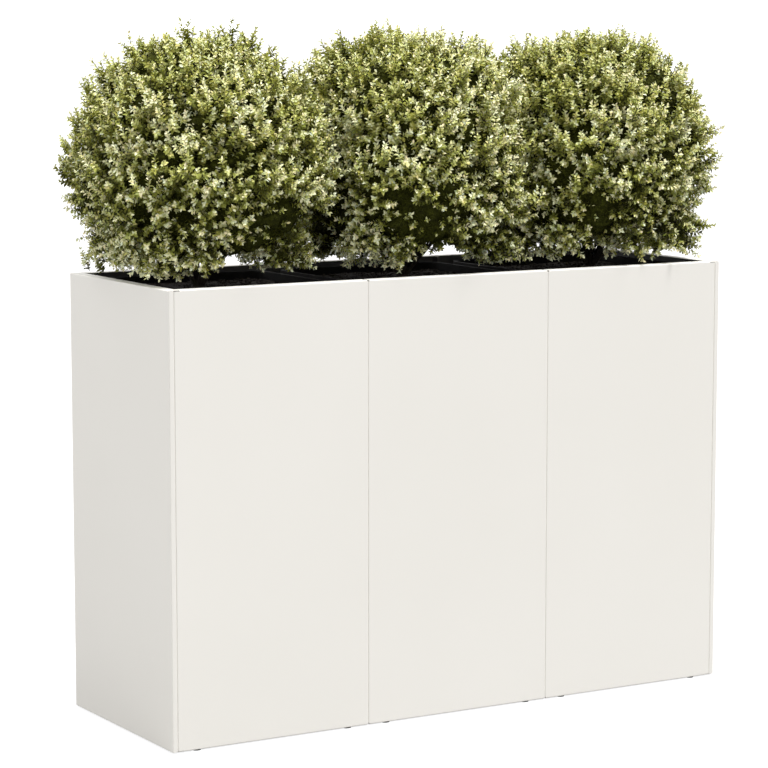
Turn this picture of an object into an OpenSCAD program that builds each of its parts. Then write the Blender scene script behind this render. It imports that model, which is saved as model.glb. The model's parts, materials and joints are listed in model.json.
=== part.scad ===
// Trough planter: a tall, narrow box of folded sheet steel for the floor, with three potted
// shrubs standing in a row on a raised shelf inside it.
// Frame: the origin is on the floor under the middle of the box, +X runs to the right of the
// front, +Y to the back and +Z up. Millimetres.

/* [Box] */
// Width of one front or back panel, centre to centre of its seams
panel_w = 380; // [320:5:440]
// Width of the strip that each side panel wraps onto the front and the back
corner_w = 10; // [9:0.5:16]
// Depth of the box, front face to back face
trough_d = 400; // [340:5:520]
// Height of the box, floor to rim
trough_h = 800; // [600:10:1000]
// Thickness of the wall sheet
sheet_t = 1.2; // [0.8:0.1:1.6]
// Outer radius of each fold in the wall sheet
bend_r = 2; // [1.8:0.1:3]
// Depth of the turned-in edges, from the wall's outer face
flange_w = 20; // [18:0.5:24]
// Length of the notch at the end of each fold, where two folds meet
relief = 2.4; // [2.2:0.1:5]
// Clearance between folded edges of two panels at a corner
fold_gap = 1; // [0.5:0.1:2]

/* [Floor and feet] */
// Thickness of the rubber pads under the walls
pad_h = 2; // [1.5:0.1:4]
// Radius of the pads under the walls
pad_r = 7.5; // [5:0.5:8]
// Distance of the two wall pads from the middle of their panel
pad_spread = 150; // [100:5:155]
// Radius of the pad under the middle of each floor plate
mid_pad_r = 20; // [12:1:30]
// Thickness of the floor plates
base_t = 1.5; // [1:0.1:3]
// Clearance round the floor plates
base_gap = 2; // [1.5:0.1:4]
// Radius of the drain holes in the floor plates
base_drain_r = 6; // [4:0.5:9]

/* [Shelf] */
// Thickness of the shelf plates
shelf_t = 2; // [1.5:0.1:3]
// Depth of the turned-down front and back edges of the shelf plates
shelf_lip = 18; // [10:1:24]
// Clearance between the shelf plates and the turned-in wall edges
shelf_gap = 2; // [1:0.1:4]
// Radius of the drain holes in the shelf plates
shelf_drain_r = 8; // [4:0.5:10]
// Distance between rows of drain holes, in the shelf and in the floor
drain_pitch = 70; // [50:1:90]
// Least distance of a drain hole's middle from the edge of its plate
drain_edge = 30; // [20:1:50]
// Thickness of the cross bars and their top edge
bar_t = 3; // [2:0.1:4]
// Height of the upright part of the bars
bar_h = 25; // [20:0.5:32]
// Width of the top edge that carries the shelf
bearer_w = 30; // [26:0.5:40]
// Depth of the tie bar's middle below the rim
tie_drop = 50; // [30:1:70]
// Clearance between the ends of the bars and the wall
bar_end_gap = 2; // [1.5:0.1:4]

/* [Fasteners] */
// Radius of the bolt shank
bolt_r = 2.5; // [2:0.1:3]
// Clearance of the bolt holes
hole_gap = 0.25; // [0.15:0.05:0.5]
// Width across the corners of the bolt head and the nut, halved
hex_r = 4.6; // [4:0.1:5.5]
// Height of the bolt head
head_h = 3.5; // [2.5:0.1:4.5]
// Height of the nut
nut_h = 4; // [3:0.1:5]
// Clearance between nut and shank
thread_gap = 0.1; // [0.05:0.05:0.2]
// Length of shank beyond the nut
bolt_over = 1.5; // [0.5:0.1:3]
// Height of the lowest bolt above the floor
bolt_low = 60; // [40:1:120]

/* [Pots] */
// Height of each grow pot
pot_h = 328; // [240:2:340]
// Depth of the pot's rim below the rim of the box
pot_drop = 10; // [8:1:24]
// Space left beside each pot, from the seam of the panels
pot_gap_x = 15; // [11:0.5:22]
// Space left between each pot and the turned-in wall edges
pot_gap_y = 5; // [3:0.5:12]
// Clearance between a pot and the shelf that it stands on
seat_gap = 0.3; // [0.2:0.05:0.5]
// Wall thickness of the pots
pot_t = 2.5; // [2:0.1:4]
// Thickness of the pot's bottom
pot_floor_t = 3; // [2:0.1:5]
// Outer radius of the pot's corners, at the rim
pot_corner_r = 35; // [20:1:60]
// How far the rim stands out from the pot's wall
pot_rim_w = 5; // [3:0.5:8]
// Height of the rim band
pot_rim_h = 12; // [8:0.5:20]
// Radius of the pot's drain holes
pot_drain_r = 9; // [5:0.5:12]
// Distance of the pot's drain holes from its middle
pot_drain_spread = 90; // [60:1:110]
// Depth of the soil below the pot's rim
soil_drop = 12; // [6:1:40]
// Clearance between the soil and the pot
soil_gap = 0.3; // [0.2:0.05:0.5]

/* [Shrubs] */
// Radius of the short trunk at the soil
trunk_r = 13; // [9:0.5:20]
// Radius of the short trunk at its top
trunk_top_r = 10; // [7:0.5:16]
// Height of the short trunk
trunk_h = 14; // [8:1:24]
// Number of stems
stem_n = 11; // [5:1:13]
// Radius of a stem at its foot
stem_r = 4.2; // [3:0.1:6]
// Radius of a stem where it enters the leaves
stem_tip_r = 2.6; // [1.5:0.1:3]
// Largest lean of the stems, from upright
stem_lean = 46; // [20:1:50]
// How far the stems reach into the leaves
stem_bury = 45; // [20:1:80]
// Sideways offset of the end trunks from the middle of their pots
trunk_out = 42; // [0:1:60]
// Sideways offset of the left, middle and right crown from the middle of their pots
crown_out = [-30, 0, 20]; // [-60:1:60]
// Half width of a crown of leaves, side to side
crown_rx = 254; // [200:2:300]
// Half depth of a crown, front to back
crown_ry = 242; // [180:2:280]
// Height of the crown's widest level above the rim of the box
crown_mid = 250; // [200:2:260]
// Height of the crown above its widest level
crown_up = 196; // [160:2:280]
// Depth of the crown below its widest level
crown_down = 290; // [200:1:320]
// Size of the left, middle and right crown
crown_sizes = [1, 0.99, 0.98]; // [0.85:0.01:1.05]
// Fullness of the left, middle and right crown below its widest level: 2 is an ellipsoid
crown_low_full = [2.5, 3.3, 3.1]; // [2:0.05:4]
// The same above the widest level
crown_top_full = [1.9, 2.2, 2.2]; // [1.6:0.05:3]
// Clearance between the leaves and the rim of the box
crown_clear = 6; // [4:0.5:20]
// Clearance between each crown and the middle line to the next one
crown_gap = 4; // [2:0.5:12]
// Sharpness of the shoulder that a crown turns towards the next one
shoulder = 9; // [4:1:20]
// Depth of the furrows between the clumps of leaves
clump_depth = 0.14; // [0:0.01:0.2]
// Number of clumps over a whole crown
clump_n = 38; // [16:1:60]
// Rise of the crown's underside round the stems
under_rise = 34; // [0:1:60]

/* [Hidden] */
$fn = 48;

steel_white = [0.925, 0.914, 0.894];
zinc = [0.72, 0.73, 0.74];
pot_black = [0.10, 0.10, 0.10];
soil_brown = [0.14, 0.11, 0.09];
bark = [0.20, 0.16, 0.12];
leaf_green = [0.45, 0.52, 0.24];
rubber_black = [0.08, 0.08, 0.08];

// Heights of the walls, the floor plates and the shelf
wall_h = trough_h - pad_h;
base_z = pad_h + sheet_t;
pot_top = trough_h - pot_drop;
pot_z = pot_top - pot_h;
shelf_top = pot_z - seat_gap;
bearer_z = shelf_top - shelf_t - bar_t;
// Seams: the middle ones and the ones beside the corner strips
seam_x = panel_w / 2;
corner_x = 1.5 * panel_w;
half_w = corner_x + corner_w;
// Length of fold cut away where a front panel's top edge meets the side panel's
corner_cut = flange_w - corner_w + fold_gap;
// Bolts: one line of five on each seam
bolt_y = trough_d / 2 - (flange_w + sheet_t) / 2;
bearer_hole_z = bearer_z - bar_h / 2;
tie_z = trough_h - tie_drop;
bolt_zs = [bolt_low, (bolt_low + bearer_hole_z) / 2, bearer_hole_z,
    (bearer_hole_z + tie_z) / 2, tie_z];
// Pots and soil
pot_w = panel_w - 2 * pot_gap_x;
pot_d = trough_d - 2 * (flange_w + pot_gap_y);
pot_body_w = pot_w - 2 * pot_rim_w;
pot_body_d = pot_d - 2 * pot_rim_w;
pot_body_r = pot_corner_r - pot_rim_w;
soil_w = pot_body_w - 2 * (pot_t + soil_gap);
soil_d = pot_body_d - 2 * (pot_t + soil_gap);
soil_r = pot_body_r - pot_t - soil_gap;
soil_top = pot_top - soil_drop;
soil_z = pot_z + pot_floor_t;
// Crowns
crown_z = trough_h + crown_mid;
crown_low = trough_h + crown_clear;
crown_foot = crown_low + under_rise;
split_x = seam_x - crown_gap;
far = 10 * trough_h;
rings = 20;
sides = 44;

// ---- folded sheet ----

// A quarter of a fold, in the corner where both faces start at zero
module fold_2d() {
    intersection() {
        square(bend_r);
        translate([bend_r, bend_r])
            difference() {
                circle(bend_r);
                circle(bend_r - sheet_t);
            }
    }
}

// A fold with its turned-in edge: the edge runs along the second axis
module edge_2d(depth) {
    fold_2d();
    translate([0, bend_r])
        square([sheet_t, depth - bend_r]);
}

// Holes for the bolts through a turned-in edge that starts at x
module edge_holes(x) {
    for (z = bolt_zs)
        translate([x - 1, bolt_y_in, z - pad_h])
            rotate([0, 90, 0])
                cylinder(h = sheet_t + 2, r = bolt_r + hole_gap);
}
bolt_y_in = trough_d / 2 - bolt_y;

// One front panel: outer face at y = 0, edges turned in towards +y on all four sides.
// cut_a and cut_b are the lengths of fold left out at the ends of the top and bottom edges.
module tray(cut_a, cut_b) {
    difference() {
        union() {
            translate([bend_r, 0, bend_r])
                cube([panel_w - 2 * bend_r, sheet_t, wall_h - 2 * bend_r]);
            translate([0, 0, relief])
                linear_extrude(wall_h - 2 * relief)
                    edge_2d(flange_w);
            translate([panel_w, 0, relief])
                mirror([1, 0, 0])
                    linear_extrude(wall_h - 2 * relief)
                        edge_2d(flange_w);
            long_edge(cut_a, cut_b);
            translate([0, 0, wall_h])
                mirror([0, 0, 1])
                    long_edge(cut_a, cut_b);
        }
        edge_holes(0);
        edge_holes(panel_w - sheet_t);
    }
}

// The bottom edge of a front panel; the top edge is its mirror image
module long_edge(cut_a, cut_b) {
    translate([cut_a, 0, 0])
        rotate([90, 0, 90])
            linear_extrude(panel_w - cut_a - cut_b)
                mirror([1, -1])
                    edge_2d(flange_w);
}

module front_panel(column) {
    translate([(column - 0.5) * panel_w, -trough_d / 2, pad_h])
        tray(column == -1 ? corner_cut : relief, column == 1 ? corner_cut : relief);
}

module back_panel(column) {
    mirror([0, 1, 0]) front_panel(column);
}

// The strip, its fold and its turned-in edge at the front of a side panel, seen from above:
// the outer face of the side is at x = 0 and the front face at y = 0
module strip_2d() {
    fold_2d();
    translate([bend_r, 0])
        square([corner_w - 2 * bend_r, sheet_t]);
    translate([corner_w, 0])
        mirror([1, 0])
            fold_2d();
}

module strip() {
    difference() {
        union() {
            translate([0, 0, fold_gap])
                linear_extrude(wall_h - 2 * fold_gap)
                    strip_2d();
            translate([corner_w - sheet_t, bend_r, relief])
                cube([sheet_t, flange_w - bend_r, wall_h - 2 * relief]);
        }
        edge_holes(corner_w - sheet_t);
    }
}

module side_edge() {
    translate([0, trough_d - relief, 0])
        rotate([90, 0, 0])
            linear_extrude(trough_d - 2 * relief)
                mirror([1, -1])
                    edge_2d(flange_w);
}

module side_panel() {
    translate([-half_w, -trough_d / 2, pad_h]) {
        translate([0, bend_r, bend_r])
            cube([sheet_t, trough_d - 2 * bend_r, wall_h - 2 * bend_r]);
        strip();
        translate([0, trough_d, 0])
            mirror([0, 1, 0])
                strip();
        side_edge();
        translate([0, 0, wall_h])
            mirror([0, 0, 1])
                side_edge();
    }
}

// ---- floor plates, shelf and bars ----

// Rows of drain holes through a plate, about its middle
module drains(w, d, r, t) {
    nx = floor((w / 2 - drain_edge) / drain_pitch);
    ny = floor((d / 2 - drain_edge) / drain_pitch);
    for (i = [-nx:nx], j = [-ny:ny])
        translate([i * drain_pitch, j * drain_pitch, -1])
            cylinder(h = t + 2, r = r);
}

module base_plate(column) {
    w = panel_w - 2 * (sheet_t + base_gap);
    d = trough_d - 2 * (sheet_t + base_gap);
    translate([column * panel_w, 0, base_z])
        difference() {
            translate([-w / 2, -d / 2, 0])
                cube([w, d, base_t]);
            drains(w, d, base_drain_r, base_t);
        }
}

// The shelf plates end on the bars; the outer ones reach over the end bars
module shelf_plate(column) {
    d = trough_d - 2 * (flange_w + shelf_gap);
    over = corner_w - sheet_t - shelf_gap - bend_r;
    x0 = column == -1 ? -corner_x - over : column * panel_w - seam_x + fold_gap / 2;
    x1 = column == 1 ? corner_x + over : column * panel_w + seam_x - fold_gap / 2;
    lip_in = bearer_w + sheet_t + shelf_gap;
    lip0 = column * panel_w - seam_x + lip_in;
    lip1 = column * panel_w + seam_x - lip_in;
    translate([0, 0, shelf_top - shelf_t])
        difference() {
            union() {
                translate([x0, -d / 2, 0])
                    cube([x1 - x0, d, shelf_t]);
                for (y = [-d / 2, d / 2 - shelf_t])
                    translate([lip0, y, shelf_t - shelf_lip])
                        cube([lip1 - lip0, shelf_t, shelf_lip]);
            }
            translate([column * panel_w, 0, 0])
                drains(panel_w - 2 * bearer_w, d, shelf_drain_r, shelf_t);
        }
}

// An upright bar from the front seam to the back seam, against the right side of the seam
module cross_bar(seam, z) {
    len = trough_d - 2 * (sheet_t + bar_end_gap);
    difference() {
        translate([seam + sheet_t, -len / 2, z - bar_h / 2])
            cube([bar_t, len, bar_h]);
        for (side = [-1, 1])
            translate([seam + sheet_t - 1, side * bolt_y, z])
                rotate([0, 90, 0])
                    cylinder(h = bar_t + 2, r = bolt_r + hole_gap);
    }
}

// A bar with a wide top edge that carries two shelf plates
module bearer() {
    top_d = trough_d - 2 * (flange_w + shelf_gap);
    cross_bar(-seam_x, bearer_hole_z);
    translate([-seam_x + sheet_t + (bar_t - bearer_w) / 2, -top_d / 2, bearer_z])
        cube([bearer_w, top_d, bar_t]);
}

// The same at an end, with its top edge to one side only
module end_bearer() {
    top_d = trough_d - 2 * (flange_w + shelf_gap);
    cross_bar(-corner_x, bearer_hole_z);
    translate([-corner_x + sheet_t, -top_d / 2, bearer_z])
        cube([bearer_w, top_d, bar_t]);
}

module tie_bar() {
    cross_bar(-seam_x, tie_z);
}

// ---- bolts and pads ----

// The bolts and nuts of one front seam, heads to the left of the seam
module bolt_line(seam, tie) {
    for (z = bolt_zs) {
        bar = z == bearer_hole_z || (tie && z == tie_z) ? bar_t : 0;
        translate([seam, -bolt_y, z])
            rotate([0, 90, 0]) {
                translate([0, 0, -sheet_t - head_h])
                    cylinder(h = head_h, r = hex_r, $fn = 6);
                translate([0, 0, -sheet_t - head_h / 2])
                    cylinder(h = head_h / 2 + 2 * sheet_t + bar + nut_h + bolt_over, r = bolt_r);
                translate([0, 0, sheet_t + bar])
                    difference() {
                        cylinder(h = nut_h, r = hex_r, $fn = 6);
                        translate([0, 0, -1])
                            cylinder(h = nut_h + 2, r = bolt_r + thread_gap);
                    }
            }
    }
}

module wall_pads() {
    for (column = [-1:1], side = [-1, 1])
        translate([column * panel_w + side * pad_spread, -trough_d / 2 + bend_r + pad_r, 0])
            cylinder(h = pad_h, r = pad_r);
}

// ---- pots, soil and shrubs ----

// Rectangle with round corners, about its middle
module round_rect(w, d, r) {
    square([w - 2 * r, d], center = true);
    square([w, d - 2 * r], center = true);
    for (x = [-1, 1], y = [-1, 1])
        translate([x * (w / 2 - r), y * (d / 2 - r)])
            circle(r);
}

module pot(column) {
    translate([column * panel_w, 0, pot_z])
        difference() {
            union() {
                linear_extrude(pot_h - pot_rim_h / 2)
                    round_rect(pot_body_w, pot_body_d, pot_body_r);
                translate([0, 0, pot_h - pot_rim_h])
                    linear_extrude(pot_rim_h)
                        round_rect(pot_w, pot_d, pot_corner_r);
            }
            translate([0, 0, pot_floor_t])
                linear_extrude(pot_h)
                    round_rect(pot_body_w - 2 * pot_t, pot_body_d - 2 * pot_t,
                        pot_body_r - pot_t);
            for (x = [-1:1], y = [-1:1])
                translate([x * pot_drain_spread, y * pot_drain_spread, -1])
                    cylinder(h = pot_floor_t + 2, r = pot_drain_r);
        }
}

module soil(column) {
    translate([column * panel_w, 0, soil_z])
        linear_extrude(soil_top - soil_z)
            round_rect(soil_w, soil_d, soil_r);
}

// Places of the trunks and of the crowns
function trunk_x(column) = column * (panel_w + trunk_out);
function crown_x(column) = column * panel_w + crown_out[column + 1];

// Lean of stem i: the first is almost upright and the last leans most
function lean(i) = stem_lean * sqrt((i + 0.3) / stem_n);

module stems(column) {
    reach = crown_foot + stem_bury - soil_top;
    translate([trunk_x(column), 0, soil_top]) {
        cylinder(h = trunk_h, r1 = trunk_r, r2 = trunk_top_r);
        for (i = [0:stem_n - 1])
            rotate([0, 0, i * 137.5 + column * 40])
                translate([trunk_r / 3, 0, stem_r])
                    rotate([0, lean(i), 0])
                        cylinder(h = reach / cos(lean(i)) * (1 - 0.25 * sin(lean(i))),
                            r1 = stem_r, r2 = stem_tip_r);
    }
}

// Directions of the clumps, evenly spread over a sphere along a spiral
function clump(i, turn) =
    let (up = 1 - (2 * i + 1) / clump_n, out = sqrt(1 - up * up), a = i * 137.508 + turn)
        [out * cos(a), out * sin(a), up];

function clumps(turn) = [for (i = [0:clump_n - 1]) clump(i, turn)];

// How near direction v is to the middle of its clump: 1 on it, less in a furrow
function swell(v, list) =
    max([for (i = [0:len(list) - 1]) exp((v * list[i] - 1) / 0.055) * (0.8 + 0.2 * cos(i * 97))]);

// Distance from the crown's middle to its plain surface in direction v
function plain(v, full) =
    let (tall = v[2] < 0 ? crown_down : crown_up, p = full[v[2] < 0 ? 0 : 1])
        pow(pow(abs(v[0]) / crown_rx, p) + pow(abs(v[1]) / crown_ry, p)
            + pow(abs(v[2]) / tall, p), -1 / p);

// The same with the clumps, the round shoulders to either side and the rise round the stems
function reach(v, list, size, full, mid_x, x0, x1) =
    let (r = size * plain(v, full) * (1 - clump_depth + clump_depth * swell(v, list)),
        hollow = max(0, -v[2] - 0.8) / 0.2 * under_rise,
        side = abs(v[0]) < 0.001 ? far : ((v[0] > 0 ? x1 : x0) - mid_x) / v[0],
        round_r = pow(pow(r, -shoulder) + pow(side, -shoulder), -1 / shoulder),
        floor_r = v[2] > -0.001 ? far : (crown_low - crown_z) / v[2])
        min(round_r, floor_r) - hollow;

function heading(i, j) =
    let (e = -90 + 180 * i / rings, a = 360 * j / sides)
        [cos(e) * cos(a), cos(e) * sin(a), sin(e)];

// A closed crown of leaves between the limits x0 and x1
module crown(column, turn, x0, x1) {
    mid_x = crown_x(column);
    size = crown_sizes[column + 1];
    full = [crown_low_full[column + 1], crown_top_full[column + 1]];
    list = clumps(turn);
    low = heading(0, 0);
    high = heading(rings, 0);
    points = concat(
        [low * reach(low, list, size, full, mid_x, x0, x1)],
        [for (i = [1:rings - 1], j = [0:sides - 1])
            let (v = heading(i, j)) v * reach(v, list, size, full, mid_x, x0, x1)],
        [high * reach(high, list, size, full, mid_x, x0, x1)]);
    last = len(points) - 1;
    faces = concat(
        [for (j = [0:sides - 1]) [0, 1 + j, 1 + (j + 1) % sides]],
        [for (i = [0:rings - 3], j = [0:sides - 1])
            let (a = 1 + i * sides + j, b = 1 + i * sides + (j + 1) % sides)
                [a, a + sides, b]],
        [for (i = [0:rings - 3], j = [0:sides - 1])
            let (a = 1 + i * sides + j, b = 1 + i * sides + (j + 1) % sides)
                [b, a + sides, b + sides]],
        [for (j = [0:sides - 1])
            [last, last - sides + (j + 1) % sides, last - sides + j]]);
    translate([mid_x, 0, crown_z])
        polyhedron(points, faces);
}

// ---- one module per piece ----

module front_panel_left() { color(steel_white) front_panel(-1); }
module front_panel_centre() { color(steel_white) front_panel(0); }
module front_panel_right() { color(steel_white) front_panel(1); }
module back_panel_left() { color(steel_white) back_panel(-1); }
module back_panel_centre() { color(steel_white) back_panel(0); }
module back_panel_right() { color(steel_white) back_panel(1); }
module side_panel_left() { color(steel_white) side_panel(); }
module side_panel_right() { color(steel_white) mirror([1, 0, 0]) side_panel(); }
module base_plate_left() { color(zinc) base_plate(-1); }
module base_plate_centre() { color(zinc) base_plate(0); }
module base_plate_right() { color(zinc) base_plate(1); }
module shelf_left() { color(zinc) shelf_plate(-1); }
module shelf_centre() { color(zinc) shelf_plate(0); }
module shelf_right() { color(zinc) shelf_plate(1); }
module end_bearer_left() { color(zinc) end_bearer(); }
module bearer_left() { color(zinc) bearer(); }
module bearer_right() { color(zinc) mirror([1, 0, 0]) bearer(); }
module end_bearer_right() { color(zinc) mirror([1, 0, 0]) end_bearer(); }
module tie_bar_left() { color(zinc) tie_bar(); }
module tie_bar_right() { color(zinc) mirror([1, 0, 0]) tie_bar(); }
module bolts_front_corner_left() { color(zinc) bolt_line(-corner_x, false); }
module bolts_front_seam_left() { color(zinc) bolt_line(-seam_x, true); }
module bolts_front_seam_right() { color(zinc) mirror([1, 0, 0]) bolt_line(-seam_x, true); }
module bolts_front_corner_right() { color(zinc) mirror([1, 0, 0]) bolt_line(-corner_x, false); }
module bolts_back_corner_left() { mirror([0, 1, 0]) bolts_front_corner_left(); }
module bolts_back_seam_left() { mirror([0, 1, 0]) bolts_front_seam_left(); }
module bolts_back_seam_right() { mirror([0, 1, 0]) bolts_front_seam_right(); }
module bolts_back_corner_right() { mirror([0, 1, 0]) bolts_front_corner_right(); }
module pads_front() { color(rubber_black) wall_pads(); }
module pads_back() { color(rubber_black) mirror([0, 1, 0]) wall_pads(); }
module pads_middle() {
    color(rubber_black)
        for (column = [-1:1])
            translate([column * panel_w, 0, 0])
                cylinder(h = base_z, r = mid_pad_r);
}
module pot_left() { color(pot_black) pot(-1); }
module soil_left() { color(soil_brown) soil(-1); }
module stems_left() { color(bark) stems(-1); }
module crown_left() { color(leaf_green) crown(-1, 0, -2 * half_w, -seam_x - crown_gap); }
module pot_centre() { color(pot_black) pot(0); }
module soil_centre() { color(soil_brown) soil(0); }
module stems_centre() { color(bark) stems(0); }
module crown_centre() { color(leaf_green) crown(0, 110, -split_x, split_x); }
module pot_right() { color(pot_black) pot(1); }
module soil_right() { color(soil_brown) soil(1); }
module stems_right() { color(bark) stems(1); }
module crown_right() { color(leaf_green) crown(1, 230, seam_x + crown_gap, 2 * half_w); }

front_panel_left();
front_panel_centre();
front_panel_right();
back_panel_left();
back_panel_centre();
back_panel_right();
side_panel_left();
side_panel_right();
base_plate_left();
base_plate_centre();
base_plate_right();
shelf_left();
shelf_centre();
shelf_right();
end_bearer_left();
bearer_left();
bearer_right();
end_bearer_right();
tie_bar_left();
tie_bar_right();
bolts_front_corner_left();
bolts_front_seam_left();
bolts_front_seam_right();
bolts_front_corner_right();
bolts_back_corner_left();
bolts_back_seam_left();
bolts_back_seam_right();
bolts_back_corner_right();
pads_front();
pads_back();
pads_middle();
pot_left();
soil_left();
stems_left();
crown_left();
pot_centre();
soil_centre();
stems_centre();
crown_centre();
pot_right();
soil_right();
stems_right();
crown_right();
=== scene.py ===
"""Looks of the trough planter: coated sheet box, grow pots, soil, stems and leafy crowns."""
import json
import math
import bpy
import numpy as np
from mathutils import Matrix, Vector
from mathutils.bvhtree import BVHTree


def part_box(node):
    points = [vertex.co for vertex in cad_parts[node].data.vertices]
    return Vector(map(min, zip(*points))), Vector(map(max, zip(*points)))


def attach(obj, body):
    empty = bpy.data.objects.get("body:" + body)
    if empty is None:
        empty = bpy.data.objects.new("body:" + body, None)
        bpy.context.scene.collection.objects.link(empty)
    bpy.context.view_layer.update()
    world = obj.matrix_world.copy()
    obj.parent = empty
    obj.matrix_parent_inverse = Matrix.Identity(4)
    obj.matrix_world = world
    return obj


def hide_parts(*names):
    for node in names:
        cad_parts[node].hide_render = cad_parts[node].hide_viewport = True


# Camera, fitted to the box's edges in the photograph
LOOK_DOWN, LOOK_RIGHT = 7.3553, 30.7376  # degrees
scene = bpy.context.scene
cam = bpy.data.objects.new("camera", bpy.data.cameras.new("camera"))
scene.collection.objects.link(cam)
cam.data.lens = 130.88
cam.data.sensor_width = 36
cam.data.clip_end = 2000  # beyond the floor's far corners
cam.location = (-2.65885, -4.40512, 1.24574)
cam.rotation_euler = (math.radians(90 - LOOK_DOWN), 0, math.radians(-LOOK_RIGHT))
scene.camera = cam
scene.view_settings.view_transform = "Standard"

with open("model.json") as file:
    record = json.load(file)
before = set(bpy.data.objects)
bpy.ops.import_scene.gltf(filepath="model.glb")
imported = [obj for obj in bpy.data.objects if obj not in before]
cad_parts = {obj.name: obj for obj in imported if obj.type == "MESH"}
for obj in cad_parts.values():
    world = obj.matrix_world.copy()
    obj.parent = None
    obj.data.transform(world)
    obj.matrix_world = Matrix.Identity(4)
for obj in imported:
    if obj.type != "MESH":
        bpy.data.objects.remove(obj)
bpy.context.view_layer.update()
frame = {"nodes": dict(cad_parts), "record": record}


nodes = frame["nodes"]
SIDES = ("left", "centre", "right")
BODY = {s: "potted_shrub_" + s for s in SIDES}

# The box, as the CAD model has it
WALL_LOW, WALL_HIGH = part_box("side_panel_left")
HALF_LENGTH, HALF_DEPTH = -WALL_LOW.x, WALL_HIGH.y
FOOT_HEIGHT, RIM = WALL_LOW.z, WALL_HIGH.z
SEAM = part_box("front_panel_centre")[1].x  # x of the seam right of the middle panel
SHEET = 0.0012  # thickness of the wall sheet


# Material helpers
def linear(r, g, b):
    """Linear colour of an sRGB colour given in 0..255."""
    def channel(c):
        return c / 12.92 if c <= 0.04045 else ((c + 0.055) / 1.055) ** 2.4

    return (channel(r / 255), channel(g / 255), channel(b / 255), 1.0)


class Tree:
    """A material with a Principled node, and short ways to add nodes to it."""

    def __init__(self, name):
        self.mat = bpy.data.materials.new(name)
        self.mat.use_nodes = True
        self.nt = self.mat.node_tree
        self.p = self.nt.nodes["Principled BSDF"]

    def add(self, kind, **settings):
        n = self.nt.nodes.new("ShaderNode" + kind)
        for k, v in settings.items():
            setattr(n, k, v)
        return n

    def join(self, a, b):
        self.nt.links.new(a, b)

    def put(self, socket, value):
        if isinstance(value, bpy.types.NodeSocket):
            self.join(value, socket)
        else:
            socket.default_value = value

    def position(self):
        return self.add("TexCoord").outputs["Object"]

    def noise(self, scale, detail=3.0, rough=0.5, vector=None, stretch=None):
        v = vector or self.position()
        if stretch:
            v = self.vector("MULTIPLY", v, stretch)
        n = self.add("TexNoise")
        self.join(v, n.inputs["Vector"])
        n.inputs["Scale"].default_value = scale
        n.inputs["Detail"].default_value = detail
        n.inputs["Roughness"].default_value = rough
        return n.outputs[0]

    def cells(self, scale, output="Distance"):
        n = self.add("TexVoronoi")
        self.join(self.position(), n.inputs["Vector"])
        n.inputs["Scale"].default_value = scale
        return n.outputs[output]

    def math(self, op, a, b=0.0, c=0.0):
        n = self.add("Math", operation=op)
        for s, v in zip(n.inputs, (a, b, c)):
            self.put(s, v)
        return n.outputs[0]

    def vector(self, op, a, b=(0, 0, 0)):
        n = self.add("VectorMath", operation=op)
        self.put(n.inputs[0], a)
        self.put(n.inputs[1], b)
        return n.outputs["Vector"]

    def split(self, v):
        n = self.add("SeparateXYZ")
        self.join(v, n.inputs[0])
        return n.outputs

    def span(self, value, a, b, lo, hi):
        """value taken from a..b to lo..hi, held at the ends."""
        n = self.add("MapRange")
        self.join(value, n.inputs["Value"])
        for name, v in (("From Min", a), ("From Max", b), ("To Min", lo), ("To Max", hi)):
            n.inputs[name].default_value = v
        return n.outputs["Result"]

    def ramp(self, value, stops):
        n = self.add("ValToRGB")
        e = n.color_ramp.elements
        while len(e) < len(stops):
            e.new(0.5)
        for el, (pos, col) in zip(e, stops):
            el.position = pos
            el.color = col
        self.join(value, n.inputs[0])
        return n.outputs["Color"]

    def mix(self, share, a, b, blend="MIX"):
        n = self.add("Mix", data_type="RGBA", blend_type=blend)
        for s, v in zip((n.inputs[0], n.inputs[6], n.inputs[7]), (share, a, b)):
            self.put(s, v)
        return n.outputs[2]

    def finish(self, colour, rough, height=None, depth=None, strength=None):
        self.put(self.p.inputs["Base Color"], colour)
        self.put(self.p.inputs["Roughness"], rough)
        if height is not None:
            n = self.add("Bump")
            n.inputs["Strength"].default_value = strength
            n.inputs["Distance"].default_value = depth
            self.join(height, n.inputs["Height"])
            self.join(n.outputs[0], self.p.inputs["Normal"])
        return self.mat


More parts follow.
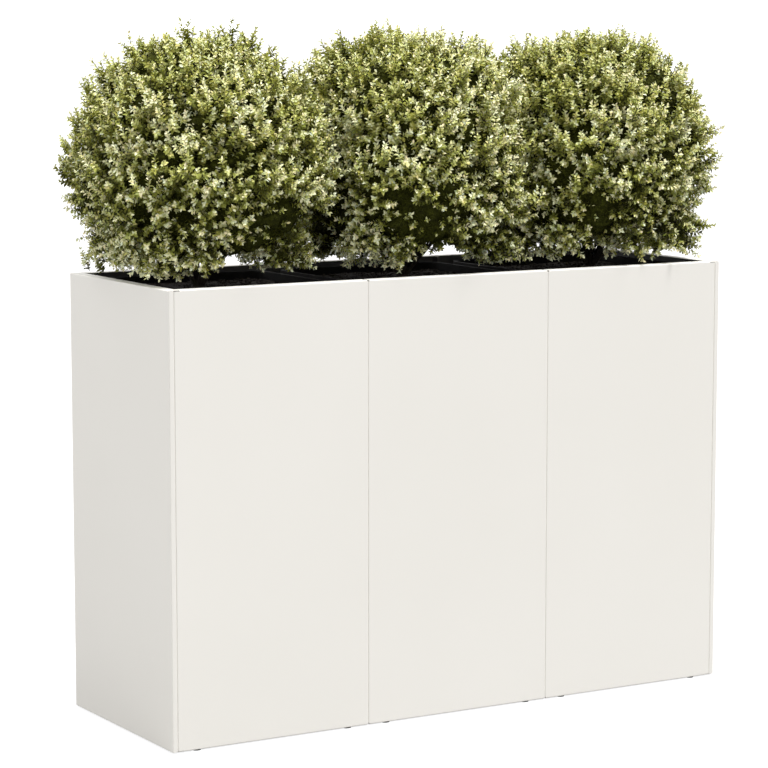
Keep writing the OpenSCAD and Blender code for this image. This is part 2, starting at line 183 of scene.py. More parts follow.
def coated_sheet():
    """Satin powder coat outside, and painted shade inside: the faces that look into the box are
    darker grey.
    """
    t = Tree("coated_sheet")
    x, y, z = t.split(t.position())
    nx, ny, nz = t.split(t.add("NewGeometry").outputs["Normal"])
    skin = 0.003  # an outer face lies within this distance of the box's outside
    outward = 0.02  # and its normal points outwards by at least this much

    def above(value, least):
        return t.math("GREATER_THAN", value, least)

    def either(a, b):
        return t.math("MAXIMUM", a, b)

    def both(a, b):
        return t.math("MULTIPLY", a, b)

    def wall(place, normal, half):
        away = t.math("MULTIPLY", t.math("SIGN", place), normal)
        return both(above(t.math("ABSOLUTE", place), half - skin), above(away, outward))

    walls = either(wall(x, nx, HALF_LENGTH), wall(y, ny, HALF_DEPTH))
    top = both(above(z, RIM - skin), above(nz, outward))
    rim_edge = both(above(z, RIM - SHEET), above(nz, -0.5))
    underside = t.math("LESS_THAN", z, FOOT_HEIGHT + 0.0025)
    outer = either(either(walls, top), either(underside, rim_edge))

    paint = t.mix(t.noise(2.6, 2), linear(233, 230, 223), linear(238, 235, 229))
    speck = t.span(t.noise(900, 1), 0.62, 0.8, 0.0, 0.10)
    paint = t.mix(speck, paint, linear(206, 203, 197))
    # painted shade: the faces that look into the box are darker grey than the paint outside
    inside = t.mix(t.noise(30, 3), linear(96, 94, 94), linear(114, 112, 111))
    colour = t.mix(outer, inside, paint)
    rough = t.math("ADD", t.span(t.noise(9, 3), 0.3, 0.7, 0.34, 0.42),
                   t.math("MULTIPLY", t.math("SUBTRACT", 1.0, outer), 0.25))
    peel = t.math("ADD", t.noise(420, 2), t.math("MULTIPLY", t.noise(1500, 1), 0.35))
    return t.finish(colour, rough, peel, 0.00012, 0.35)


def zinc_sheet():
    """Galvanised sheet with its spangle and a few dull patches."""
    t = Tree("zinc_sheet")
    tone = t.split(t.cells(95, "Color"))[0]
    colour = t.mix(tone, (0.36, 0.37, 0.38, 1), (0.56, 0.57, 0.58, 1))
    colour = t.mix(t.span(t.noise(8, 4), 0.55, 0.8, 0, 0.5), colour, (0.30, 0.30, 0.29, 1))
    t.p.inputs["Metallic"].default_value = 0.9
    return t.finish(colour, t.span(tone, 0, 1, 0.34, 0.5), t.noise(60, 3), 0.0002, 0.3)


def bolt_steel():
    """Plated bolts and nuts with fine turning marks."""
    t = Tree("bolt_steel")
    lines = t.noise(900, 3, stretch=(0.1, 1, 1))
    colour = t.mix(t.noise(160, 3), (0.42, 0.42, 0.41, 1), (0.62, 0.61, 0.57, 1))
    t.p.inputs["Metallic"].default_value = 1.0
    return t.finish(colour, t.span(lines, 0.3, 0.7, 0.25, 0.45), lines, 0.0001, 0.4)


def pad_rubber():
    """Black rubber with a fine grain."""
    t = Tree("pad_rubber")
    colour = t.mix(t.noise(120, 4), (0.012, 0.012, 0.012, 1), (0.035, 0.034, 0.033, 1))
    return t.finish(colour, t.span(t.noise(300, 2), 0.3, 0.7, 0.7, 0.9), t.noise(700, 3), 0.0004, 0.6)


def pot_plastic():
    """Matt black moulded plastic with a little soil dust on it."""
    t = Tree("pot_plastic")
    colour = t.mix(t.noise(14, 4), (0.014, 0.013, 0.013, 1), (0.022, 0.021, 0.021, 1))
    dust = t.span(t.noise(60, 5, 0.7), 0.55, 0.75, 0.0, 0.35)
    colour = t.mix(dust, colour, (0.022, 0.018, 0.014, 1))
    t.p.inputs["Specular IOR Level"].default_value = 0.12
    return t.finish(colour, t.span(t.noise(40, 3), 0.3, 0.7, 0.72, 0.92), t.cells(900), 0.0003, 0.35)


def potting_soil():
    """Dark, damp, crumbly soil."""
    t = Tree("potting_soil")
    colour = t.ramp(t.noise(150, 6, 0.65), [(0.30, (0.018, 0.015, 0.013, 1)),
                    (0.55, (0.036, 0.029, 0.024, 1)), (0.75, (0.060, 0.047, 0.037, 1))])
    t.p.inputs["Specular IOR Level"].default_value = 0.15
    return t.finish(colour, t.span(t.noise(50, 3), 0.3, 0.7, 0.8, 0.98),
                    t.math("ADD", t.noise(260, 5, 0.7), t.cells(420)), 0.002, 0.8)


def stem_bark():
    """Bark with ridges that run up the stem and greenish patches."""
    t = Tree("stem_bark")
    grain = t.noise(520, 4, 0.6, stretch=(1, 1, 0.22))
    colour = t.ramp(grain, [(0.30, linear(18, 14, 10)), (0.50, linear(38, 31, 23)),
                            (0.70, linear(72, 62, 47))])
    colour = t.mix(t.span(t.noise(45, 3), 0.55, 0.75, 0, 0.4), colour, linear(66, 68, 40))
    return t.finish(colour, t.span(grain, 0.3, 0.7, 0.65, 0.9), grain, 0.0006, 0.7)


LEAF_MAP = "OFBake"  # name of the map that the leaves' material reads; the export bakes through a map of this name where it can
TILES = 8  # rows and columns of tiles on the leaves' map


def leaves():
    """Leaves share one map: rows of tiles go from shaded to sunlit, columns vary the hue."""
    t = Tree("leaves")
    uv = t.add("UVMap", uv_map=LEAF_MAP).outputs[0]
    big = t.vector("SCALE", uv)
    big.node.inputs["Scale"].default_value = TILES
    cell = t.split(t.vector("FLOOR", big))
    u, v, _ = t.split(t.vector("FRACTION", big))
    shade = t.math("DIVIDE", cell[1], TILES - 1)
    kind = t.math("DIVIDE", cell[0], TILES - 1)
    body = t.ramp(shade, [(0.0, linear(64, 66, 9)), (0.28, linear(108, 112, 27)),
                          (0.55, linear(167, 172, 65)), (0.80, linear(215, 218, 138)),
                          (1.0, linear(247, 249, 206))])
    cool = t.mix(1.0, body, (0.86, 0.95, 1.18, 1), "MULTIPLY")
    warm = t.mix(1.0, body, (1.12, 0.97, 0.95, 1), "MULTIPLY")
    body = t.mix(t.span(kind, 0.0, 0.5, 1.0, 0.0), body, warm)
    body = t.mix(t.span(kind, 0.5, 1.0, 0.0, 1.0), body, cool)
    aside = t.math("ABSOLUTE", t.math("SUBTRACT", u, 0.5))
    rib = t.span(aside, 0.015, 0.07, 1.0, 0.0)
    slant = t.math("SUBTRACT", v, t.math("MULTIPLY", aside, 0.9))
    vein = t.span(t.math("SINE", t.math("MULTIPLY", slant, 48.0)), 0.5, 1.0, 0.0, 1.0)
    blotch = t.noise(70, 3, 0.6, uv)
    body = t.mix(t.span(blotch, 0.35, 0.7, 0.0, 0.30), body, t.mix(0.5, body, linear(92, 104, 44)))
    # pale rib, veins and margins, with a painted highlight that grows on the sunlit rows
    pale_vein_and_highlight = t.mix(t.span(shade, 0.0, 0.75, 0.10, 0.62), body, linear(238, 238, 205))
    body = t.mix(t.math("MULTIPLY", rib, 0.55), body, pale_vein_and_highlight)
    body = t.mix(t.math("MULTIPLY", vein, 0.16), body, pale_vein_and_highlight)
    body = t.mix(t.span(aside, 0.30, 0.46, 0.0, 0.55), body, pale_vein_and_highlight)
    height = t.math("SUBTRACT", t.math("MULTIPLY", vein, 0.3), rib)
    rough = t.span(blotch, 0.3, 0.7, 0.26, 0.40)
    t.p.inputs["Specular IOR Level"].default_value = 0.16
    return t.finish(body, rough, height, 0.0004, 0.5)


def leaf_shade():
    """Painted shade of the foliage deep inside a crown: a dark leafy colour."""
    t = Tree("leaf_shade")
    colour = t.ramp(t.noise(110, 5, 0.7), [(0.35, linear(34, 36, 5)), (0.55, linear(54, 57, 12)),
                                           (0.72, linear(80, 84, 25))])
    t.p.inputs["Specular IOR Level"].default_value = 0.1
    return t.finish(colour, t.span(t.noise(90, 2), 0.3, 0.7, 0.75, 0.95), t.cells(170), 0.006, 1.0)


FINISHES = (coated_sheet, zinc_sheet, bolt_steel, pad_rubber, pot_plastic, potting_soil,
            stem_bark, leaves, leaf_shade)
MATS = {finish.__name__: finish() for finish in FINISHES}

for part in frame["record"]["subparts"]:
    for s in nodes[part["node"]].material_slots:
        s.material = MATS[part["material_slot"]]


# Mesh helpers
def build(name, points, faces, slot, body, mat=None, uv=None, smooth=True, stands_for=None):
    """A piece that rides on a body, from faces that all have the same number of corners."""
    points = np.asarray(points, np.float32)
    faces = np.asarray(faces, np.int32)
    k = faces.shape[1]
    me = bpy.data.meshes.new(name)
    me.vertices.add(len(points))
    me.vertices.foreach_set("co", points.ravel())
    me.loops.add(faces.size)
    me.loops.foreach_set("vertex_index", faces.ravel())
    me.polygons.add(len(faces))
    me.polygons.foreach_set("loop_start", np.arange(0, faces.size, k, dtype=np.int32))
    me.update(calc_edges=True)
    me.polygons.foreach_set("use_smooth", np.full(len(faces), smooth))
    if uv is not None:
        layer = me.uv_layers.new(name=LEAF_MAP)
        layer.data.foreach_set("uv", np.asarray(uv, np.float32)[faces.ravel()].ravel())
    me.materials.append(MATS[mat or slot])
    me.validate()
    ob = bpy.data.objects.new(name, me)
    scene.collection.objects.link(ob)
    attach(ob, body)
    if stands_for:
        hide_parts(stands_for)


def unit(v):
    return v / np.maximum(np.linalg.norm(v, axis=-1, keepdims=True), 1e-12)


def ripple(p, scale, seed):
    """Smooth noise in -1..1 from a few crossed waves."""
    r = np.random.default_rng(seed)
    total = np.zeros(p.shape[:-1])
    for k in range(6):
        w = unit(r.normal(size=3)) * scale * (0.7 + 0.25 * k)
        total += np.sin(p @ w + r.uniform(0, 6.28)) / 6 ** 0.5 / 1.2
    return np.clip(total, -1, 1)


def tube(path, radii, sides):
    """A closed tube through path (n, 3): points and triangles."""
    path = np.asarray(path, float)
    n = len(path)
    t = unit(np.gradient(path, axis=0))
    ref = np.array([0.31, 0.95, 0.05]) if abs(t[0][1]) < 0.8 else np.array([1.0, 0.1, 0.0])
    a = unit(np.cross(t, ref))
    b = np.cross(t, a)
    w = np.arange(sides) * 2 * np.pi / sides
    ring = (a[:, None] * np.cos(w)[None, :, None] + b[:, None] * np.sin(w)[None, :, None])
    pts = path[:, None] + ring * np.asarray(radii, float)[:, None, None]
    pts = np.concatenate([pts.reshape(-1, 3), path[:1], path[-1:]])
    i, j = np.meshgrid(np.arange(n - 1), np.arange(sides), indexing="ij")
    q = i * sides + j
    r = i * sides + (j + 1) % sides
    faces = [np.stack([q, r, r + sides], -1).reshape(-1, 3),
             np.stack([q, r + sides, q + sides], -1).reshape(-1, 3)]
    j = np.arange(sides)
    k = (j + 1) % sides
    last = (n - 1) * sides
    faces.append(np.stack([k, j, np.full(sides, n * sides)], -1))
    faces.append(np.stack([last + j, last + k, np.full(sides, n * sides + 1)], -1))
    return pts, np.concatenate(faces)


def gather(parts):
    """One mesh from several pairs of points and faces."""
    points, faces, start = [], [], 0
    for p, f in parts:
        points.append(p)
        faces.append(f + start)
        start += len(p)
    return np.concatenate(points), np.concatenate(faces)


# Shrubs
UP = np.array([0, 0, 1.0])
SOIL_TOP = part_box("soil_centre")[1].z
POT_X = {s: 0.5 * (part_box("soil_" + s)[0].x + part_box("soil_" + s)[1].x) for s in SIDES}
TRUNK_OUT = 0.042  # the outer shrubs' trunks stand this far outwards of their pots' middles
CROWN_MID = 0.230  # the crowns' middles above the rim
CROWN_HEIGHT = 0.45  # height above the rim over which the leaves' painted shade deepens towards the top
# each layer's number of sprays, and of shoots in a spray
LAYERS = (("outer", 720, 5), ("skirt", 80, 5), ("inner", 460, 4))
TUFTS = 120  # tufts that the sprays of a crown are gathered in
SPRAY = 0.085  # length of a spray from its root to its end
MAIN_SHOOT, SIDE_SHOOT = (0.047, 0.058), (0.030, 0.044)  # shortest and longest
MAIN_LEAVES, SIDE_LEAVES = 14, 11  # pairs of leaves on a main and on a side shoot
LEAF_LENGTH, LEAF_TAPER = 0.0102, 0.0034  # at a shoot's foot, and the loss towards its tip
LEAF_GAP = 0.0018  # from the parting to the nearest leaf on each side
MOST_TRIANGLES = 180000  # in one piece of leaves


def parting(side, y):
    """Where the leaves of two neighbours meet: wavy from front to back, upright all the way.

    side is -1 for the parting left of the centre shrub and 1 for the one right of it."""
    turn = 0.7 if side < 0 else 2.9
    return (side * SEAM + 0.010 * np.sin(2 * np.pi * y / 0.13 + turn)
            + 0.004 * np.sin(2 * np.pi * y / 0.047 + 2 * turn))


def own_slice(column, y):
    """Lowest and highest x of the leaves of a shrub, endless where it has no neighbour."""
    endless = np.full(np.shape(y), np.inf)
    left = parting(2 * column - 1, y) + LEAF_GAP if column > -1 else -endless
    right = parting(2 * column + 1, y) - LEAF_GAP if column < 1 else endless
    return left, right


def beyond(column, p):
    """True for points below the rim or outside the shrub's own slice of space."""
    left, right = own_slice(column, p[..., 1])
    return (p[..., 2] < RIM + 0.003) | (p[..., 0] < left) | (p[..., 0] > right)


def inside(column, p, room):
    """Points moved sideways so that they stay at least room away from the slice's ends."""
    left, right = own_slice(column, p[:, 1])
    p = p.copy()
    p[:, 0] = np.clip(p[:, 0], left + room, right - room)
    return p


def spiral(n, rng, jitter=0.35):
    """n directions spread evenly over a sphere, each moved a little at random."""
    i = np.arange(n) + 0.5
    z = 1 - 2 * i / n
    a = i * 2.399963  # golden angle
    v = np.stack([np.sqrt(1 - z * z) * np.cos(a), np.sqrt(1 - z * z) * np.sin(a), z], -1)
    return unit(v + rng.normal(size=v.shape) * jitter * (4 / n) ** 0.5)


def ball(rings, sides):
    """Directions over a sphere in rings from top to bottom, and the triangles between them."""
    e = np.pi * (np.arange(rings) + 0.5) / rings
    a = 2 * np.pi * np.arange(sides) / sides
    way = np.stack([np.sin(e)[:, None] * np.cos(a), np.sin(e)[:, None] * np.sin(a),
                    np.cos(e)[:, None] + 0 * a], -1).reshape(-1, 3)
    i, j = np.meshgrid(np.arange(rings - 1), np.arange(sides), indexing="ij")
    q, w = i * sides + j, i * sides + (j + 1) % sides
    j = np.arange(sides)
    k = (j + 1) % sides
    low = (rings - 1) * sides
    faces = [np.stack([q, q + sides, w + sides], -1).reshape(-1, 3),
             np.stack([q, w + sides, w], -1).reshape(-1, 3),
             np.stack([np.full(sides, rings * sides), j, k], -1),
             np.stack([np.full(sides, rings * sides + 1), low + k, low + j], -1)]
    return np.concatenate([way, [[0, 0, 1.0], [0, 0, -1.0]]]), np.concatenate(faces)


def surface(tree, centre, directions):
    """Distance from centre to the crown's surface in each direction, or 0.2 without a hit."""
    out = np.full(len(directions), 0.2)
    for i, d in enumerate(directions):
        point, _, _, distance = tree.ray_cast(centre, Vector(d))
        if point is not None:
            out[i] = distance
    return out


# One leaf: points across and along it and their height, and two faces on each side of its rib
LEAF = np.array([[0, 0, 0], [0.42, 0.27, 0.10], [0.47, 0.64, 0.09], [0, 1.0, -0.10],
                 [-0.47, 0.64, 0.09], [-0.42, 0.27, 0.10]])
LEAF_FACES = np.array([[0, 1, 2], [0, 2, 3], [0, 3, 4], [0, 4, 5]])
LEAF_UV = np.stack([LEAF[:, 0] + 0.5, LEAF[:, 1]], -1) * 0.86 + 0.07


def shoots(column, tips, ways, lengths, pairs, tone, tip_light, rng):
    """Leaves in crossed pairs along each shoot: their points and their places on the map.

    tone is the shoot's painted shade, and its tip is painted lighter than its foot by the next
    argument, a painted light."""
    n = len(tips)
    side_ref = unit(np.cross(ways, rng.normal(size=(n, 3))))
    bend = unit(UP - 0.4 * ways) * (0.10 * lengths)[:, None]
    s = (np.arange(pairs) + 0.6) / pairs
    s = s[None] + rng.uniform(-0.2, 0.2, (n, pairs)) / pairs
    s = np.clip(s, 0.02, 1.0)
    back = (1 - s)[..., None]
    spots = tips[:, None] - ways[:, None] * lengths[:, None, None] * back \
        - bend[:, None] * back * (1 - back) * 2
    turn = rng.uniform(0, 6.28, n)[:, None] + np.arange(pairs)[None] * (np.pi / 2) \
        + rng.normal(size=(n, pairs)) * 0.22
    across = np.cross(ways, side_ref)
    e = side_ref[:, None] * np.cos(turn)[..., None] + across[:, None] * np.sin(turn)[..., None]
    leaf_at, leaf_way, leaf_side, leaf_len, leaf_s = [], [], [], [], []
    for sign in (1, -1):
        tilt = np.radians(68 - 30 * s ** 3) + rng.normal(size=s.shape) * 0.16
        d = ways[:, None] * np.cos(tilt)[..., None] + sign * e * np.sin(tilt)[..., None]
        leaf_at.append(spots)
        leaf_way.append(unit(d + rng.normal(size=d.shape) * 0.10))
        leaf_side.append(np.cross(np.broadcast_to(ways[:, None], e.shape), sign * e))
        leaf_len.append((LEAF_LENGTH - LEAF_TAPER * s ** 3) * rng.uniform(0.8, 1.15, s.shape))
        leaf_s.append(s)
    at = np.concatenate([a.reshape(-1, 3) for a in leaf_at])
    way = np.concatenate([a.reshape(-1, 3) for a in leaf_way])
    wide = np.concatenate([a.reshape(-1, 3) for a in leaf_side])
    long = np.concatenate([a.ravel() for a in leaf_len])
    along = np.concatenate([a.ravel() for a in leaf_s])
    own = np.tile(np.repeat(np.arange(n), pairs), 2)
    wide = unit(way * (wide * way).sum(-1, keepdims=True) - wide)
    up = np.cross(wide, way)
    roll = rng.normal(size=len(at)) * 0.30
    wide, up = (wide * np.cos(roll)[:, None] + up * np.sin(roll)[:, None],
                up * np.cos(roll)[:, None] - wide * np.sin(roll)[:, None])
    width = long * rng.uniform(0.48, 0.60, len(at))
    curl = rng.uniform(0.4, 1.6, len(at))
    pts = (at[:, None] + way[:, None] * (long[:, None] * LEAF[None, :, 1])[..., None]
           + wide[:, None] * (width[:, None] * LEAF[None, :, 0])[..., None]
           + up[:, None] * ((long * curl)[:, None] * LEAF[None, :, 2])[..., None])
    keep = ~beyond(column, pts).any(1)
    # painted light and shade: each leaf's row comes from the shoot's painted shade, lighter towards
    # the tip
    shade = tone[own] + tip_light[own] * (along ** 2.0 - 0.42 + rng.normal(size=len(at)) * 0.18)
    row = np.clip(shade * TILES, 0, TILES - 1).astype(int)
    col = np.clip(rng.normal(size=len(at)) * 1.5 + 3.5, 0, TILES - 1).astype(int)
    uv = (LEAF_UV[None] + np.stack([col, row], -1)[:, None]) / TILES
    return pts[keep], uv[keep]


def crown(side, column):
    """Leafy shoots under the surface of the CAD crown, their twigs, and the shade inside.

    column is -1, 0 or 1 for the left, centre and right shrub. Directions and depths are taken
    from the crown's middle. A spray is one main shoot with side shoots round it."""
    rng = np.random.default_rng(20 + column)
    node = nodes["crown_" + side]
    tree = BVHTree.FromPolygons([v.co.copy() for v in node.data.vertices],
                                [tuple(p.vertices) for p in node.data.polygons])
    axis = POT_X[side] + column * TRUNK_OUT
    lo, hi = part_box("crown_" + side)
    middle = np.array([(lo.x + hi.x) / 2, 0.0, RIM + CROWN_MID])
    centre = Vector(middle)

    def lowest(p):
        """Lowest height of a shoot: open round the stems, low at the edge."""
        r = np.hypot(p[..., 0] - axis, p[..., 1])
        return RIM + 0.008 + 0.030 * np.clip((0.12 - r) / 0.06, 0, 1) \
            + 0.005 * ripple(p * [1, 1, 0], 38.0, 5 + column)

    def place(way):
        """Each direction's tuft, and how far it is from the tuft's middle: 1 where two meet."""
        away = np.arccos(np.clip(way @ tufts.T, -1, 1))
        own = away.argmin(1)
        away.sort(1)
        return own, away[:, 0] / away[:, 1]

    tufts = spiral(TUFTS, rng, 0.8)
    # a random step of painted light and shade for each tuft, used in the shoots' tone
    bulge, tuft_light = rng.uniform(-0.008, 0.012, TUFTS), rng.normal(size=TUFTS) * 0.06
    # bare tufts leave dark hollows low on the crown, but not at the two ends of the row
    bare = (rng.random(TUFTS) < 0.60) & (tufts[:, 0] * column < 0.30)
    groups, stalks = [], []
    for layer, count, shoots_each in LAYERS:
        way = spiral(count, rng)
        if layer == "skirt":
            way = unit(way * [1, 1, 0.15] - [0, 0, 0.95])
        own, edge = place(way)
        outer = layer != "inner"
        # fewer sprays where two tufts meet
        thinned = rng.random(count) < 0.9 * (edge - 0.80)
        if outer:
            way = way[~(thinned | (bare[own] & (way[:, 2] < -0.38)))]
        own, edge = place(way)
        count = len(way)
        if outer:
            depth = rng.uniform(-0.008, 0.014, count) - bulge[own] + 0.022 * edge ** 3
        else:
            depth = rng.uniform(0.020, 0.040, count)
        # leaders: sprays near the middle of a tuft that stand out from it
        leader = outer & (rng.random(count) < 1.1 * (1 - edge))
        stretch = leader * rng.uniform(0.008, 0.032, count) * (1 - 0.7 * np.abs(way[:, 1]))
        if layer == "skirt":
            stretch = rng.uniform(0.0, 0.050, count)
        depth -= stretch
        ends = middle + way * (surface(tree, centre, way) - depth)[:, None]
        near = np.hypot(ends[:, 0] - axis, ends[:, 1]) < 0.060
        ends[:, 2] = np.maximum(ends[:, 2], lowest(ends) + rng.uniform(0.0, 0.014, count))
        low = np.maximum(0, -way[:, 2])
        aim = unit(way * 0.72 + UP * (0.60 - 0.66 * low)[:, None]
                   + rng.normal(size=way.shape) * 0.18)
        root = ends - aim * SPRAY
        foot = ends - aim * 0.050
        # painted light and shade: tips lighter, more so low on the crown; darker higher up, low down,
        # on inner sprays and where tufts meet; lighter on the centre shrub and the skirt; a wavy
        # mottle and a random step per tuft
        tip_light = 0.55 - 0.12 * np.maximum(0, way[:, 2]) + 0.80 * low
        tone = (0.725 + 0.05 * (column == 0) + 0.07 * (layer == "skirt")
                - 0.15 * (ends[:, 2] - RIM) / CROWN_HEIGHT - 0.20 * low
                + 0.06 * ripple(ends, 30.0, 60 + column)
                + tuft_light[own] * (1 + 1.2 * low) + rng.normal(size=count) * 0.09
                - 0.10 * edge ** 3 - (0.0 if outer else 0.12 + 0.24 * low))
        side_a = unit(np.cross(aim, rng.normal(size=(count, 3))))
        side_b = np.cross(aim, side_a)
        spin = rng.uniform(0, 6.28, count)
        for k in range(shoots_each):
            if k == 0:
                start, d, length = foot, aim, rng.uniform(*MAIN_SHOOT, count)
            else:
                w = spin + k * 2.4
                e = side_a * np.cos(w)[:, None] + side_b * np.sin(w)[:, None]
                opened = np.radians(rng.uniform(24, 48, count))
                start = root + aim * (0.014 + 0.010 * k)
                d = aim * np.cos(opened)[:, None] + e * np.sin(opened)[:, None]
                d = unit(d + UP * 0.12)
                length = rng.uniform(*SIDE_SHOOT, count)
            tips = start + d * length[:, None]
            # a tip that stands out further than its share is pulled back, and its shoot with it
            rise = np.linalg.norm(tips - middle, axis=1)
            most = surface(tree, centre, unit(tips - middle)) \
                + rng.uniform(-0.008, 0.008, count) \
                + stretch * (1 if k == 0 else 0.4) + 0.5 * bulge[own]
            pull = unit(tips - middle) * np.maximum(0, rise - most)[:, None]
            tips = inside(column, tips - pull, 0.007)
            start = inside(column, start - pull, 0.012)
            d, length = unit(tips - start), np.linalg.norm(tips - start, axis=1)
            # shoots keep above the lowest height, and higher still close to the stems
            fine = np.minimum(tips[:, 2], start[:, 2]) > lowest(tips)
            fine &= ~(near & (tips[:, 2] < RIM + 0.05))
            if k:
                fine &= rng.random(count) < 0.9
            # main shoots are painted a little lighter than side shoots
            groups.append(shoots(column, tips[fine], d[fine], length[fine],
                                 MAIN_LEAVES if k == 0 else SIDE_LEAVES,
                                 tone[fine] + (0.04 if k == 0 else 0.0), tip_light[fine], rng))
            if outer:
                stalks += [(a, b) for a, b in zip(start[fine], tips[fine] - d[fine] * 0.004)]
        stalks += [(a + (middle - a) * 0.2, b)
                   for a, b, z in zip(root, foot, lowest(root)) if a[2] > z]
    pts = np.concatenate([g[0] for g in groups])
    uv = np.concatenate([g[1] for g in groups])
    order = rng.permutation(len(pts))
    pts, uv = pts[order], uv[order]
    cuts = max(1, math.ceil(len(pts) * len(LEAF_FACES) / MOST_TRIANGLES))
    for k, (p, m) in enumerate(zip(np.array_split(pts, cuts), np.array_split(uv, cuts))):
        faces = LEAF_FACES[None] + (np.arange(len(p)) * len(LEAF))[:, None, None]
        build(f"leaves_{side}_{k + 1}", p.reshape(-1, 3), faces.reshape(-1, 3), "leaves",
              BODY[side], uv=m.reshape(-1, 2), stands_for=None if k else "crown_" + side)

    # three-sided twigs, from inside the crown to each spray and along each outer shoot
    twigs = [tube([a, b], [0.0010, 0.0005], 3) for a, b in stalks
             if not beyond(column, np.array([a, b])).any()]
    build(f"twigs_{side}", *gather(twigs), "stem_bark", BODY[side])

    # a dark core painted as the shade of the foliage inside, which closes the view through the crown
    way, hull = ball(46, 110)
    r = surface(tree, centre, way) * 0.82 + 0.012 * ripple(way * 0.25, 70.0, 80 + column) \
        + 0.006 * ripple(way * 0.25, 190.0, 90 + column)
    p = middle + way * r[:, None]
    p[:, 2] = np.maximum(p[:, 2], RIM + 0.042 + 0.010 * ripple(p * [1, 1, 0], 60.0, 7))
    build(f"crown_shade_{side}", p, hull, "leaves", BODY[side], mat="leaf_shade")


def stems(side, column):
    """A short trunk with stems that fan out of it, and fine twigs on the stems."""
    rng = np.random.default_rng(70 + column)
    axis = np.array([POT_X[side] + column * TRUNK_OUT, 0.0, SOIL_TOP])
    count, rise, widest, twigs = 11, 0.150, math.radians(46), 12
    z = np.linspace(-0.004, 0.020, 7)
    w = 1 + 0.10 * np.sin(z * 400)
    parts = [tube(axis + np.stack([z * 0.1, z * 0.05, z], -1),
                  np.interp(z, [-0.004, 0.004, 0.02], [0.0165, 0.0128, 0.0095]) * w, 12)]
    for i in range(count):
        lean = widest * math.sqrt((i + 0.3) / count)
        a = math.radians(i * 137.5 + column * 40)
        out = np.array([math.cos(a), math.sin(a), 0.0])
        long = rise / math.cos(lean) * (1 - 0.25 * math.sin(lean))
        s = np.linspace(0, 1, 12)
        wobble = np.stack([ripple(np.stack([s * 2, s * 0 + i, s * 0 + k], -1), 3.0, 11 * i + k)
                           for k in range(3)], -1) * 0.0035 * s[:, None]
        path = axis + out * 0.0043 + UP * 0.004 \
            + out * (long * np.sin(lean) * s ** 1.12)[:, None] \
            + UP * (long * np.cos(lean) * s)[:, None] + wobble
        knots = 1 + 0.12 * np.maximum(0, np.sin(s * 19 + i)) ** 6
        parts.append(tube(path, np.interp(s, [0, 1], [0.0042, 0.0024]) * knots, 8))
        for _ in range(twigs):
            start = path[int(rng.integers(1, 11))]
            aim = unit(out * rng.uniform(0.2, 1.0) + rng.normal(size=3) * 0.45
                       + UP * rng.uniform(0.7, 1.3))
            far = rng.uniform(0.08, 0.15)
            t = np.linspace(0, 1, 6)[:, None]
            twig = start + aim * far * t + UP * 0.02 * t ** 2
            # a twig stays over its own pot and reaches into the crown
            off = np.abs(twig - axis)
            if (off[:, 1] < 0.17).all() and (off[:, 0] < 0.16).all() \
                    and twig[-1][2] > RIM + 0.09:
                parts.append(tube(twig, np.interp(t[:, 0], [0, 1], [0.0015, 0.0007]), 5))
    build(f"branches_{side}", *gather(parts), "stem_bark", BODY[side],
          stands_for="stems_" + side)


def soil(side):
    """The root ball and its uneven top, with crumbs and chips of bark on it."""
    rng = np.random.default_rng(5 + len(side))
    lo, hi = (np.array(corner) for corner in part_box("soil_" + side))
    mid = (lo + hi) / 2
    half = (hi - lo) / 2
    n, rings, crumbs = 96, 26, 900
    clear = 0.0003264  # between the root ball and the edge of its CAD solid
    a = np.arange(n) * 2 * np.pi / n
    cs, sn = np.cos(a), np.sin(a)
    # a square with round corners, as the distance to its edge in each direction
    edge = 1 / (np.abs(cs) ** 9 + np.abs(sn) ** 9) ** (1 / 9) * (1 - clear / half[0])
    pts = []
    for s in np.arange(rings + 1) / rings:
        x = mid[0] + half[0] * edge * cs * s
        y = mid[1] + half[1] * edge * sn * s
        q = np.stack([x, y, np.zeros(n)], -1)
        z = hi[2] - 0.0020 + 0.0016 * ripple(q, 90.0, 3) + 0.0008 * ripple(q, 260.0, 4)
        pts.append(np.stack([x, y, z], -1))
    rim = pts[-1]
    for z in np.linspace(hi[2] - 0.012, lo[2], 6):
        pts.append(np.column_stack([rim[:, :2], np.full(n, z)]))
    pts.append(np.tile([mid[0], mid[1], lo[2]], (n, 1)))
    pts = np.concatenate(pts)
    i, j = np.meshgrid(np.arange(len(pts) // n - 1), np.arange(n), indexing="ij")
    q, w = i * n + j, i * n + (j + 1) % n
    faces = np.concatenate([np.stack([q, q + n, w + n], -1).reshape(-1, 3),
                            np.stack([q, w + n, w], -1).reshape(-1, 3)])
    parts = [(pts, faces)]
    cube = np.array([[x, y, z] for x in (-1, 1) for y in (-1, 1) for z in (-1, 1)], float)
    cube_faces = np.array([[0, 1, 3], [0, 3, 2], [4, 6, 7], [4, 7, 5], [0, 4, 5], [0, 5, 1],
                           [2, 3, 7], [2, 7, 6], [0, 2, 6], [0, 6, 4], [1, 5, 7], [1, 7, 3]])
    for _ in range(crumbs):
        at = mid + np.array([*rng.uniform(-0.95, 0.95, 2) * half[:2], 0])
        at[2] = hi[2] - 0.0012
        chip = rng.random() < 0.35
        dims = np.array([rng.uniform(0.003, 0.008), rng.uniform(0.002, 0.004), 0.0008]) if chip \
            else rng.uniform(0.0010, 0.0024, 3)
        a, b = rng.uniform(0, 6.28), rng.normal() * 0.3
        about_z = np.array([[math.cos(a), -math.sin(a), 0], [math.sin(a), math.cos(a), 0], [0, 0, 1]])
        about_x = np.array([[1, 0, 0], [0, math.cos(b), -math.sin(b)], [0, math.sin(b), math.cos(b)]])
        shape = cube * dims * rng.uniform(0.6, 1.0, (8, 3))
        parts.append((shape @ (about_z @ about_x).T + at, cube_faces))
    build(f"root_ball_{side}", *gather(parts), "potting_soil", BODY[side], smooth=False,
          stands_for="soil_" + side)


for number, name in enumerate(SIDES):
    crown(name, number - 1)
    stems(name, number - 1)
    soil(name)

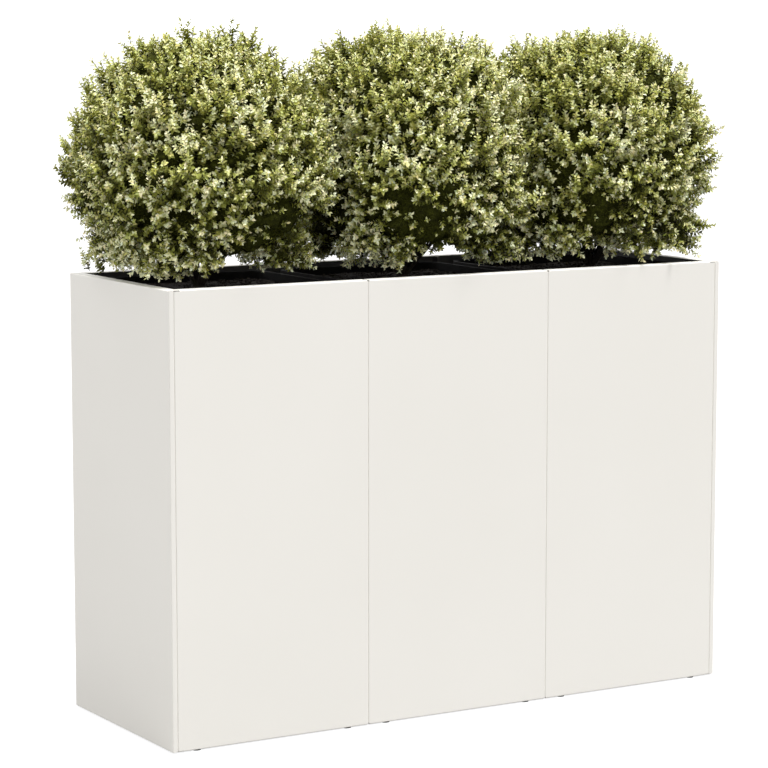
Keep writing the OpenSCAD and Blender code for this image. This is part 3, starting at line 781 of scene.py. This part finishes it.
# Floor and light
FLOOR_HALF = 600  # so wide that its edge lies near the horizon
GLOW, GLOW_SEEN = 0.12, 0.72  # the floor's own light, and what the camera sees on top of it
corners = ((-1, -1), (1, -1), (1, 1), (-1, 1))
floor_me = bpy.data.meshes.new("floor")
floor_me.from_pydata([(x * FLOOR_HALF, y * FLOOR_HALF, 0) for x, y in corners], [],
                     [(0, 1, 2, 3)])
floor = bpy.data.objects.new("floor", floor_me)
scene.collection.objects.link(floor)
tf = Tree("floor")
tf.finish(tf.mix(tf.noise(1.5, 2), (0.16, 0.16, 0.16, 1), (0.17, 0.17, 0.17, 1)), 0.9)
tf.p.inputs["Emission Color"].default_value = (1, 1, 1, 1)
seen = tf.add("LightPath").outputs["Is Camera Ray"]
tf.join(tf.math("MULTIPLY_ADD", seen, GLOW_SEEN, GLOW), tf.p.inputs["Emission Strength"])
floor_me.materials.append(tf.mat)

# a soft studio, brighter from above, from the left and from behind, and white to the camera
world = bpy.data.worlds.new("studio")
scene.world = world
world.use_nodes = True
wt = world.node_tree
direction = wt.nodes.new("ShaderNodeTexCoord").outputs["Generated"]
axes = wt.nodes.new("ShaderNodeSeparateXYZ")
wt.links.new(direction, axes.inputs[0])
from_right, from_behind, from_above = axes.outputs
seen = wt.nodes.new("ShaderNodeLightPath").outputs["Is Camera Ray"]


def world_sum(value, factor, base):
    """base plus factor times value."""
    n = wt.nodes.new("ShaderNodeMath")
    n.operation = "MULTIPLY_ADD"
    wt.links.new(value, n.inputs[0])
    n.inputs[1].default_value = factor
    if isinstance(base, float):
        n.inputs[2].default_value = base
    else:
        wt.links.new(base, n.inputs[2])
    return n.outputs[0]


light = world_sum(from_right, -0.28, 0.99)
light = world_sum(from_behind, 0.22, light)
light = world_sum(from_above, 0.15, light)
light = world_sum(seen, 1.0, light)
wt.links.new(light, wt.nodes["Background"].inputs["Strength"])
wt.nodes["Background"].inputs["Color"].default_value = (1, 1, 1, 1)

# the sun stands 20 degrees from overhead, to the front right
sun = bpy.data.objects.new("sun", bpy.data.lights.new("sun", "SUN"))
scene.collection.objects.link(sun)
sun.data.energy = 4.0
sun.data.angle = math.radians(14)
sun.rotation_euler = (math.radians(20), 0, math.radians(45))
